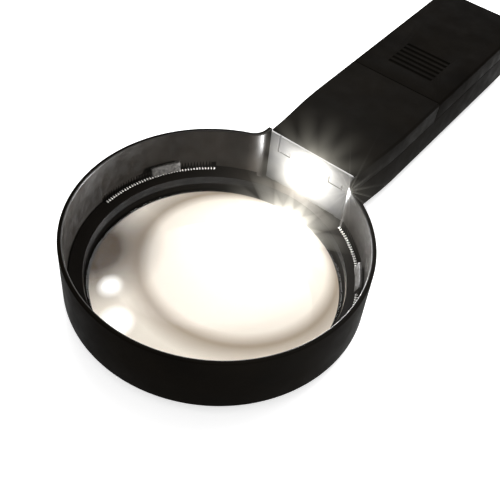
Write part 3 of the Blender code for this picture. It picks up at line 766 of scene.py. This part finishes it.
def make_panel(looks):
    """Plate across the pocket's mouth with a window hole, a chamfered back and moulded marks."""
    low, high = span("led_panel")
    plate = mesh_object("lamp_plate", boxes((low, high)), [looks["panel"]])
    radius = WINDOW_RADIUS + WINDOW_GAP
    hole = turned([(radius, low.y - OVERCUT), (radius, high.y + OVERCUT)], WINDOW_STEPS)
    combine(plate, aim_along_y(hole, (0.0, 0.0, LAMP_Z)), "DIFFERENCE")
    lip = low.y + PANEL_LIP
    back = high.y + PANEL_PAST
    top = high.z + 0.01
    foot = high.z - (back - lip) * PANEL_SLOPE
    wedge = [[(x, lip, top), (x, back, top), (x, back, foot)] for x in (low.x - OVERCUT, high.x + OVERCUT)]
    combine(plate, loft(wedge), "DIFFERENCE")
    soften(plate, PANEL_ROUND, segments=3, angle=30.0)
    for corners in panel_marks(low, high):
        combine(plate, boxes(corners), "DIFFERENCE")
    smooth(plate, 30.0)
    finish_piece(plate, HOUSING, ("led_panel",))


def make_window(looks):
    """Shallow domed diffuser in the panel's hole."""
    crown = span("led_window")[0].y
    back = span("led_window")[1].y
    profile = []
    for i in range(WINDOW_RINGS + 1):
        share = math.sin(math.pi / 2.0 * (i + WINDOW_POLE) / (WINDOW_RINGS + WINDOW_POLE))
        sink = 1.0 - math.sqrt(1.0 - share ** 2 * 0.999)
        profile.append((WINDOW_RADIUS * share, crown + (PANEL_FACE - crown) * sink))
    profile.append((WINDOW_RADIUS, back))
    window = aim_along_y(turned(profile, WINDOW_STEPS), (0.0, 0.0, LAMP_Z))
    piece("lamp_diffuser", window, [looks["lamp"]], ("led_window",), sharp=50.0)


# ---------------------------------------------------------------- handle and insides

def make_handle(looks):
    """Both shells, the battery door and the switch slider, with rounded edges."""
    rounded_copy("handle_rear_shell", looks["housing"], SHELL_ROUND)
    rounded_copy("handle_front_shell", looks["housing"], SHELL_ROUND)
    rounded_copy("battery_door", looks["housing"], DOOR_ROUND, body="battery_door")
    rounded_copy("switch_slider", looks["slider"], SLIDER_ROUND, body="switch_slider")


def dress_insides(looks):
    """Give the CAD nodes that show as they are a better material."""
    nodes = {
        "mirror": ("led_reflector",),
        "emitter": ("led_emitter",),
        "board": ("led_board",),
        "dark": ("driver_chip", "driver_resistor", "driver_coil", "switch_body"),
        "red": ("wire_red",),
        "sheath": ("wire_black_battery", "wire_black_lamp"),
        "nickel": ("front_spring", "rear_spring", "contact_negative", "contact_positive", "bridge_contact",
                   "switch_terminal_lamp", "switch_terminal_middle", "switch_terminal_battery"),
    }
    for look, names in nodes.items():
        for name in names:
            materials = NODES[name].data.materials
            materials.clear()
            materials.append(looks[look])


def make_screws(looks):
    """The four screws, with a cross recess in each head."""
    a, b = RECESS_WIDTH / 2.0, RECESS_LENGTH / 2.0
    outline = [(-a, -b), (a, -b), (a, -a), (b, -a), (b, a), (a, a),
               (a, b), (-a, b), (-a, a), (-b, a), (-b, -a), (-a, -a)]
    for name in ("front_left", "front_right", "rear_left", "rear_right"):
        x, y = screw_centre(name)
        head = span(f"screw_{name}")[0].z
        cross = loft([[(x + u, y + v, z) for u, v in outline] for z in (head - OVERCUT, head + RECESS_DEPTH)])
        rounded_copy(f"screw_{name}", looks["steel"], SCREW_ROUND, cut=cross)


def make_cells(looks):
    """Both cells in their printed sleeves."""
    for side in ("left", "right"):
        rounded_copy(f"battery_{side}", looks["sleeve"], CELL_ROUND)


# ---------------------------------------------------------------- studio

def make_camera():
    """The camera, turned by its heading, then pitch, then roll."""
    data = bpy.data.cameras.new("camera")
    data.sensor_width = CAMERA_SENSOR
    data.lens = CAMERA_LENS
    data.clip_start, data.clip_end = CAMERA_CLIP
    camera = bpy.data.objects.new("camera", data)
    turn = (
        Matrix.Rotation(CAMERA_HEADING, 4, "Z")
        @ Matrix.Rotation(math.pi / 2.0 - CAMERA_PITCH, 4, "X")
        @ Matrix.Rotation(CAMERA_ROLL, 4, "Z")
    )
    camera.matrix_world = Matrix.Translation(AXIS + CAMERA_PLACE) @ turn
    link(camera)
    bpy.context.scene.camera = camera


def near(tree, point, edge, inside=1.0, outside=0.0):
    """A value over the floor from inside to outside, across an edge's two radii about a point."""
    x, y = point
    place = tree.nodes.new("ShaderNodeTexCoord")
    reach = tree.nodes.new("ShaderNodeVectorMath")
    reach.operation = "DISTANCE"
    reach.inputs[1].default_value = (x * MM + AXIS.x, y * MM + AXIS.y, 0.0)
    tree.links.new(place.outputs["Object"], reach.inputs[0])
    return remap(tree, reach.outputs["Value"], inside, outside, edge[0] * MM, edge[1] * MM)


def paper_colour(tree, shader):
    """Pale paper with painted warm shade under the ring, brown at one side and in a faint band, and two
    painted glints (soft white highlights) in it.
    """
    grain = remap(tree, noise(tree, 8.0), 0.0, 1.0)
    paper = blend_colours(tree, grain, *PAPER)
    # painted shade under the ring: a warm tone, a brown band and a dark brown crescent
    shade = blend_colours(tree, grain, *SHADE)
    rising = near(tree, PAGE_CENTRE, PAGE_EDGE, 0.0, 1.0)
    falling = near(tree, PAGE_CENTRE, BAND_EDGE, BAND_AMOUNT, 0.0)
    shade = over(tree, product(tree, rising, falling), BAND_COLOUR, shade)
    shade = over(tree, near(tree, CRESCENT_CENTRE, CRESCENT_EDGE), CRESCENT_COLOUR, shade)
    # painted glints: soft white highlights laid over the painted shade
    for centre, edge in GLINTS:
        shade = over(tree, near(tree, centre, edge), GLINT_COLOUR, shade)
    mix = tree.nodes.new("ShaderNodeMix")
    mix.data_type = "RGBA"
    tree.links.new(near(tree, (0.0, 0.0), SHADE_EDGE, 0.0, 1.0), mix.inputs["Factor"])
    tree.links.new(shade, mix.inputs["A"])
    tree.links.new(paper, mix.inputs["B"])
    # the painted shade and glints set both the paper's colour and its glow
    for name in ("Base Color", "Emission Color"):
        tree.links.new(mix.outputs["Result"], shader.inputs[name])


def make_floor():
    """A wide sheet of paper just below the part, which glows a little so that it shows white."""
    bm = bmesh.new()
    bmesh.ops.create_grid(bm, x_segments=1, y_segments=1, size=FLOOR_HALF)
    mesh = bpy.data.meshes.new("floor")
    bm.to_mesh(mesh)
    bm.free()
    paper = surface("floor_paper", PAPER, (0.7, 0.8), specular=0.0, mottle=8.0, grain=900.0)
    shader = paper.node_tree.nodes["Principled BSDF"]
    paper_colour(paper.node_tree, shader)
    shader.inputs["Emission Strength"].default_value = FLOOR_GLOW
    mesh.materials.append(paper)
    floor = link(bpy.data.objects.new("floor", mesh))
    floor.location = (0.0, 0.0, -FLOOR_DROP * MM)


def toward(azimuth, elevation, distance):
    """A point seen from the lens at an azimuth from the handle (towards -X) and an elevation."""
    turn = math.radians(azimuth)
    rise = math.radians(elevation)
    flat = distance * math.cos(rise)
    return AXIS + Vector((-flat * math.sin(turn), flat * math.cos(turn), distance * math.sin(rise)))


def soft_disc(name, azimuth, elevation, distance, size, power, core=0.3):
    """A round studio light facing the lens, full bright at its core and fading to its edge."""
    data = bpy.data.lights.new(name, "AREA")
    data.shape = "DISK"
    data.size = size
    data.energy = power
    data.use_nodes = True
    tree = data.node_tree
    across = tree.nodes.new("ShaderNodeNewGeometry")
    reach = tree.nodes.new("ShaderNodeVectorMath")
    reach.operation = "DISTANCE"
    reach.inputs[1].default_value = (0.5, 0.5, 0.0)
    tree.links.new(across.outputs["Parametric"], reach.inputs[0])
    fade = remap(tree, reach.outputs["Value"], 1.0, 0.0, core, 0.5)
    tree.links.new(fade, tree.nodes["Emission"].inputs["Strength"])
    light = link(bpy.data.objects.new(name, data))
    light.location = toward(azimuth, elevation, distance)
    light.rotation_euler = (AXIS - light.location).to_track_quat("-Z", "Y").to_euler()


def make_world():
    """Even white surroundings."""
    world = bpy.data.worlds.new("studio")
    world.use_nodes = True
    background = world.node_tree.nodes["Background"]
    background.inputs["Color"].default_value = (1.0, 1.0, 1.0, 1.0)
    background.inputs["Strength"].default_value = WORLD_STRENGTH
    bpy.context.scene.world = world


def make_lamp_lights():
    """What the lit lamp sheds: a beam over the lens and a soft spill back onto the panel."""
    beam = bpy.data.lights.new("lamp_beam", "AREA")
    beam.shape = "DISK"
    beam.size = 2.0 * WINDOW_RADIUS * MM * BEAM_SHARE
    beam.energy = BEAM_POWER
    spill = bpy.data.lights.new("lamp_spill", "POINT")
    spill.energy = SPILL_POWER
    spill.shadow_soft_size = SPILL_RADIUS * MM
    for data, ahead in ((beam, BEAM_AHEAD), (spill, SPILL_AHEAD)):
        light = link(bpy.data.objects.new(data.name, data))
        light.location = AXIS + Vector((0.0, PANEL_FACE - ahead, LAMP_Z)) * MM
        light.rotation_euler = (math.radians(-90.0), 0.0, 0.0)
        light.visible_camera = False


def make_flare():
    """Lens flare round the lit lamp: a warm bloom with thin rays."""
    scene = bpy.context.scene
    scene.use_nodes = True
    tree = scene.node_tree
    picture = tree.nodes["Render Layers"].outputs["Image"]
    for kind, settings in (
        ("BLOOM", {"Threshold": 6.0, "Strength": 0.95, "Size": 0.55, "Tint": (1.0, 0.95, 0.84, 1.0),
                   "Clamp": True, "Maximum": 14.0}),
        ("STREAKS", {"Threshold": 6.0, "Strength": 0.5, "Streaks": 14, "Streaks Angle": 0.2,
                     "Iterations": 3, "Fade": 0.92, "Color Modulation": 0.1, "Clamp": True,
                     "Maximum": 12.0, "Tint": (1.0, 0.97, 0.86, 1.0)}),
    ):
        glare = tree.nodes.new("CompositorNodeGlare")
        glare.glare_type = kind
        glare.quality = "HIGH"
        for name, value in settings.items():
            glare.inputs[name].default_value = value
        tree.links.new(picture, glare.inputs["Image"])
        picture = glare.outputs["Image"]
    tree.links.new(picture, tree.nodes["Composite"].inputs["Image"])


def main():
    bpy.context.scene.view_settings.view_transform = "Standard"
    make_camera()
    make_floor()
    make_world()
    soft_disc("softbox", *SOFTBOX)
    make_lamp_lights()
    make_flare()
    looks = make_materials()
    make_ring(looks)
    make_retaining_ring(looks)
    make_ratchet(looks)
    make_catches(looks)
    make_lens(looks)
    make_panel(looks)
    make_window(looks)
    make_handle(looks)
    dress_insides(looks)
    make_screws(looks)
    make_cells(looks)


main()
